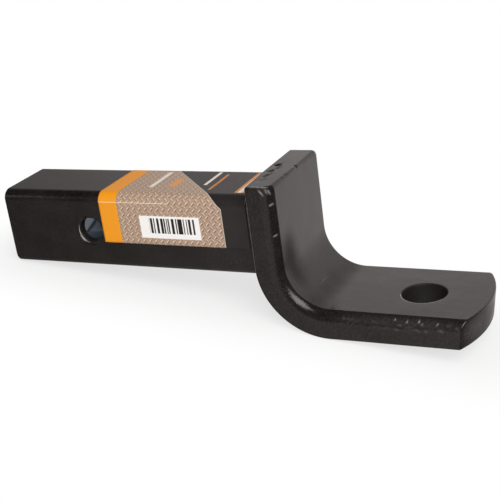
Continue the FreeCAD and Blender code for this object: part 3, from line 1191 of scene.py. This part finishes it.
@dataclass
class ShankLabel:
    """The printed sheet that lies over the top of the shank with a flap down each side.

    Attributes:
        shank: The shank that it lies on.
        start_x: End of the sheet near the pin hole.
        end_x: End of the sheet near the weld.
        hem_z: Height of the lower edge of both flaps.
        thickness: Thickness of the sheet.
        lift: Gap to the steel that keeps the two surfaces apart.
        step: Spacing of the mesh points.
        crease: Height, place round the shank and half width of the fold along the near corner.
        crease_end: Where along the shank the fold dies out, and over what length.
        wave: Height of the slow waves in the sheet.
        wave_lengths: Their wavelengths over two pi, along and round the shank.
        wave_sway: How far, in radians, and over what wavelength they sway round the shank.
        finish: The print on it.
    """

    shank: ShankTube
    start_x: float
    end_x: float
    hem_z: float
    thickness: float = 0.2
    lift: float = 0.02
    step: float = 1.2
    crease: Point = (0.28, 27.6, 0.8)
    crease_end: Span = (48.0, 6.0)
    wave: float = 0.03
    wave_lengths: Span = (7.1, 6.3)
    wave_sway: Span = (0.6, 9.0)
    finish: LabelPrint = LabelPrint()

    @classmethod
    def from_frame(cls, shank: ShankTube) -> "ShankLabel":
        """Take the sheet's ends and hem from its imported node."""
        low, high = node_box("shank_label")
        return cls(shank, start_x=low[0], end_x=high[0], hem_z=low[2])

    def stops(self) -> np.ndarray:
        """Distances round the shank at which the sheet turns: flap, corner, top, corner, flap."""
        flat, turn = self.shank.flat, self.shank.turn
        return np.cumsum([0.0, flat - self.hem_z, turn, 2 * flat, turn, flat - self.hem_z])

    def layer(self, u: np.ndarray, w: np.ndarray, offset: np.ndarray) -> np.ndarray:
        """Work out one face of the sheet.

        The corner's centre and the angle of the normal are straight-line functions of the distance
        round the shank, and the point lies a corner radius plus the offset from that centre along
        the normal.

        Args:
            u: Distance along the shank.
            w: Distance round the shank, from the near hem.
            offset: Height over the steel.

        Returns:
            The points.
        """
        flat, hem, stops = self.shank.flat, self.hem_z, self.stops()
        centre_y = np.interp(w, stops, [-flat, -flat, -flat, flat, flat, flat])
        centre_z = np.interp(w, stops, [hem, flat, flat, flat, flat, hem])
        angle = np.interp(w, stops, np.pi * np.array([1, 1, 0.5, 0.5, 0, 0]))
        reach = self.shank.corner + offset
        y, z = centre_y + reach * np.cos(angle), centre_z + reach * np.sin(angle)
        return np.stack([self.start_x + u, y, z], axis=-1)

    def build(self) -> Piece:
        """Build the sheet as a thin closed shell: the outer face, the glued face and the four edges.

        Returns:
            The sheet.
        """
        sides = (self.end_x - self.start_x, self.stops()[-1])
        steps = [np.linspace(0, side, int(side / self.step)) for side in sides]
        u, w = np.meshgrid(*steps, indexing="ij")
        outer = self.layer(u, w, self.thickness + self.slack(u, w))
        inner = self.layer(u, w, np.full_like(u, self.lift))
        edges = (np.s_[0], np.s_[-1], np.s_[:, 0], np.s_[:, -1])
        rims = [np.stack([outer[edge], inner[edge]]) for edge in edges]
        points, quads = weld_grids([outer, inner, *rims])
        place = self.print_place(points) / self.finish.sheet_span
        return make_piece("shank_label_print", points, quads, self.finish.material(), place)

    def slack(self, u: np.ndarray, w: np.ndarray) -> np.ndarray:
        """Height of the sheet's slack: a bell-shaped crease that dies out, and slow waves of sines.

        Args:
            u: Distance along the shank.
            w: Distance round the shank.

        Returns:
            Height over the flat sheet.
        """
        height, middle, width = self.crease
        end, length = self.crease_end
        crease = height * np.exp(-(((w - middle) / width) ** 2)) / (1 + np.exp((u - end) / length))
        (along, around), (sway, sway_length) = self.wave_lengths, self.wave_sway
        bent = u / along + sway * np.sin(w / sway_length)
        return crease + self.wave * np.sin(bent) * np.sin(w / around)

    def print_place(self, points: np.ndarray) -> np.ndarray:
        """Work back from points to their place on the flat print.

        On a flap the place round the shank follows z, on the top it follows y, and in a corner it
        follows the angle about the corner's centre.

        Args:
            points: Points on the sheet.

        Returns:
            Millimetres along and round the shank.
        """
        flat, stops = self.shank.flat, self.stops()
        y, z = points[:, 1], points[:, 2]
        turn = np.arctan2(np.abs(y) - flat, z - flat)
        near = np.select(
            [z <= flat, np.abs(y) <= flat],
            [z - self.hem_z, stops[2] + flat - np.abs(y)],
            stops[2] - self.shank.corner * turn,
        )
        around = np.where(y < 0, near, stops[-1] - near)
        return np.stack([points[:, 0] - self.start_x, around], axis=-1)


@dataclass(frozen=True)
class BackgroundPaper:
    """Matt white background paper: white to the camera, with a faint shadow near the object.

    Attributes:
        strip: Low and high x of the strip under the object where its shadow is full.
        half: Half width of that strip.
        reach: How far the shadow reaches beyond that strip.
        shade: Share of the paper's own light and shade in the full shadow.
        colour: The paper.
    """

    strip: Span
    half: float = 20.0
    reach: float = 60.0
    shade: float = 0.3
    colour: str = "#f2f2f2"

    def material(self) -> Material:
        """Build the paper's nodes and return the material."""
        material, tree = new_material("matt white background paper")
        place = add(tree, "TexCoord").outputs["Object"]
        sides = zip(self.strip, (-1, 1))
        low, high = ((x * METRE, side * self.half * METRE, side) for x, side in sides)
        nearest = add(tree, "VectorMath", place, low, operation="MAXIMUM")
        nearest = add(tree, "VectorMath", nearest, high, operation="MINIMUM")
        away = add(tree, "VectorMath", place, nearest, operation="DISTANCE").outputs["Value"]
        shaded = add(tree, "MapRange", away, 0.0, self.reach * METRE, self.shade, 0.0, **SMOOTH)
        paper = add(tree, "BsdfDiffuse", linear(self.colour))
        white = add(tree, "Emission", linear("#ffffff"), 1.0)
        bright = add(tree, "MixShader", shaded, white, paper)
        ray = add(tree, "LightPath").outputs
        seen = add(tree, "Math", ray["Is Camera Ray"], ray["Is Glossy Ray"], operation="MAXIMUM")
        seen = add(tree, "Math", seen, ray["Is Transmission Ray"], operation="MAXIMUM")
        add(tree, "OutputMaterial", add(tree, "MixShader", seen, paper, bright))
        return material


@dataclass(frozen=True)
class WhiteCove:
    """Surroundings: white to the camera; to the paint bright behind, dim at both sides and overhead.

    Attributes:
        left: Two directions along x, and the light of the wall on the left at each.
        right: The same for the wall on the right.
        right_lean: How far the direction for that wall leans along y.
        ceiling: Two directions along z, and the light of the ceiling at each.
        before: The same for the wall before the object.
        behind: The same for the wall behind the object.
        passing: Directions along y at which the wall before ends and the one behind begins.
        soft: Light on matt surfaces.
        tint: Colour of the light.
    """

    left: Range = (-0.64, -0.29, 0.26, 0.85)
    right: Range = (0.46, 0.8, 1.0, 0.12)
    right_lean: float = -0.18
    ceiling: Range = (0.46, 0.7, 1.0, 0.1)
    before: Range = (-0.2, 0.08, 0.7, 0.08)
    behind: Range = (-0.5, -0.38, 0.45, 1.0)
    passing: Span = (-0.8, 0.3)
    soft: float = 0.45
    tint: str = "#fff9f6"

    def build(self) -> None:
        """Build the nodes of the surroundings and give them to the scene."""
        world = bpy.data.worlds.new("white_cove")
        world.use_nodes = True
        tree = world.node_tree
        tree.nodes.clear()
        way = add(tree, "TexCoord").outputs["Generated"]
        x, y, z = add(tree, "SeparateXYZ", way).outputs
        cove = add(tree, "MapRange", x, *self.left, **SMOOTH)
        before = add(tree, "MapRange", z, *self.before)
        behind = add(tree, "MapRange", z, *self.behind)
        front = add(tree, "MapRange", y, *self.passing, before, behind)
        ceiling = add(tree, "MapRange", z, *self.ceiling)
        right = add(tree, "Math", y, self.right_lean, x, operation="MULTIPLY_ADD")
        right = add(tree, "MapRange", right, *self.right, **SMOOTH)
        for wall in (front, ceiling, right):
            cove = add(tree, "Math", cove, wall, operation="MULTIPLY")
        ray = add(tree, "LightPath").outputs
        soft = {0: ray["Is Diffuse Ray"], 2: cove, 3: self.soft}
        cove = add(tree, "Mix", sockets=soft, data_type="FLOAT")
        seen = {0: ray["Is Camera Ray"], 2: cove, 3: 1.0}
        level = add(tree, "Mix", sockets=seen, data_type="FLOAT")
        tint = {0: ray["Is Camera Ray"], 6: linear(self.tint), 7: linear("#ffffff")}
        tint = add(tree, "Mix", sockets=tint, data_type="RGBA")
        add(tree, "OutputWorld", add(tree, "Background", tint, level))
        bpy.context.scene.world = world


class Lamp(Enum):
    """The studio's soft lamps: direction from the object, width in metres and power in watts."""

    KEY = ((0.55, -0.57, 0.62), 0.8, 10.0)
    FILL = ((-0.88, -0.42, 0.22), 0.6, 2.8)


@dataclass
class Studio:
    """White cove, floor, soft lamps and the camera.

    Attributes:
        rest_low: X and Z of the shank's lower edge, where it touches the floor.
        bend: X, Z and outside radius of the bend, which also touches the floor.
        nose_x: Far end of the object.
        floor_reach: Half width of the floor.
        floor_points: Points along a side of the floor.
        floor_gap: Gap between the object and the floor.
        azimuth: Camera's turn about the upright, from straight ahead of the near side, in degrees.
        elevation: Camera's height over the level, in degrees.
        roll: Camera's turn about its own axis, in degrees.
        target: Point that the camera and the lamps face.
        distance: From the camera to that point.
        lamp_distance: From a lamp to that point.
        focal_pixels: Focal length in pixels of the picture.
        sensor: Width of the camera's sensor.
        clip: Nearest and furthest distance that the camera shows, in metres.
    """

    rest_low: Span
    bend: Point
    nose_x: float
    floor_reach: float = 1600.0
    floor_points: int = 9
    floor_gap: float = 0.05
    azimuth: float = 27.77
    elevation: float = 21.39
    roll: float = -7.945
    target: Point = (99.152, 0.0, -19.119)
    distance: float = 695.159
    lamp_distance: float = 1200.0
    focal_pixels: float = 1106.0
    sensor: float = 36.0
    clip: Span = (0.01, 20.0)

    def camera(self) -> None:
        """Set up the camera from its angles: it looks back along the direction they give, then rolls."""
        a, e, r = (math.radians(x) for x in (self.azimuth, self.elevation, self.roll))
        back = Vector((math.sin(a) * math.cos(e), -math.cos(a) * math.cos(e), math.sin(e)))
        level = (-back).cross(Vector((0, 0, 1))).normalized()
        upright = level.cross(-back)
        right = level * math.cos(r) + upright * math.sin(r)
        up = upright * math.cos(r) - level * math.sin(r)
        data = bpy.data.cameras.new("camera")
        data.sensor_width = self.sensor
        data.lens = self.focal_pixels * self.sensor / PICTURE
        data.clip_start, data.clip_end = self.clip
        camera = bpy.data.objects.new("camera", data)
        turn = Matrix((right, up, back)).transposed().to_4x4()
        place = Vector(self.target) * METRE + back * (self.distance * METRE)
        camera.matrix_world = Matrix.Translation(place) @ turn
        bpy.context.scene.collection.objects.link(camera)
        bpy.context.scene.camera = camera

    def floor_slope(self) -> float:
        """Angle by which the floor falls towards +X: the tangent from the shank's edge to the bend."""
        across, up = self.bend[0] - self.rest_low[0], self.bend[1] - self.rest_low[1]
        return math.asin(self.bend[2] / math.hypot(across, up)) - math.atan2(up, across)

    def floor(self) -> None:
        """Lay the floor: a plane grid through the shank's lower edge, falling at the floor's slope."""
        steps = np.linspace(-self.floor_reach, self.floor_reach, self.floor_points)
        x, y = np.meshgrid(steps, steps, indexing="ij")
        low_x, low_z = self.rest_low
        z = low_z - self.floor_gap - (x - low_x) * math.tan(self.floor_slope())
        points, quads = weld_grids([np.stack([x, y, z], axis=-1)])
        paper = BackgroundPaper((low_x, self.nose_x))
        floor = make_piece("floor", points, quads, paper.material())
        floor.visible_glossy = False

    def hang(self, lamp: Lamp) -> None:
        """Hang one soft square lamp that faces the object.

        Args:
            lamp: Which lamp it is.
        """
        way, size, power = lamp.value
        data = bpy.data.lights.new(f"lamp_{lamp.name.lower()}", "AREA")
        data.size, data.energy = size, power
        hung = bpy.data.objects.new(data.name, data)
        away = Vector(way).normalized()
        hung.location = (Vector(self.target) + away * self.lamp_distance) * METRE
        hung.rotation_euler = away.to_track_quat("Z", "Y").to_euler()
        bpy.context.scene.collection.objects.link(hung)

    def build(self) -> None:
        """Set up view, camera, floor, surroundings and lamps."""
        bpy.context.scene.view_settings.view_transform = "Standard"
        self.camera()
        self.floor()
        WhiteCove().build()
        for lamp in Lamp:
            self.hang(lamp)


def stand_for(piece: Piece, node: str) -> None:
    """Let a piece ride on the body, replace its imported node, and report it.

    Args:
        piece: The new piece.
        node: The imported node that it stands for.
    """
    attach(piece, BODY)
    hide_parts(node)
    LOG.info("%s: %d faces, for %s", piece.name, len(piece.data.polygons), node)


def main() -> None:
    """Load the frame, build and dress each piece, and set up the studio."""
    logging.basicConfig(level=logging.INFO, format="%(name)s: %(message)s")
    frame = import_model()
    mounts = {mount["name"]: mount for mount in frame["record"]["mounts"]}

    shank, bar = ShankTube.from_frame(mounts), DropBar.from_frame(mounts)
    shank.dress(frame["nodes"]["shank_tube"])
    stand_for(bar.build(), "drop_bar")
    stand_for(WeldBead(bar, shank).build(), "weld_bead")
    stand_for(ShankLabel.from_frame(shank).build(), "shank_label")

    rest_low = (shank.low[0], shank.low[2])
    Studio(rest_low, (bar.bend_x, bar.bend_z, bar.bend_outside), bar.nose_x).build()


if __name__ == "__main__":
    main()
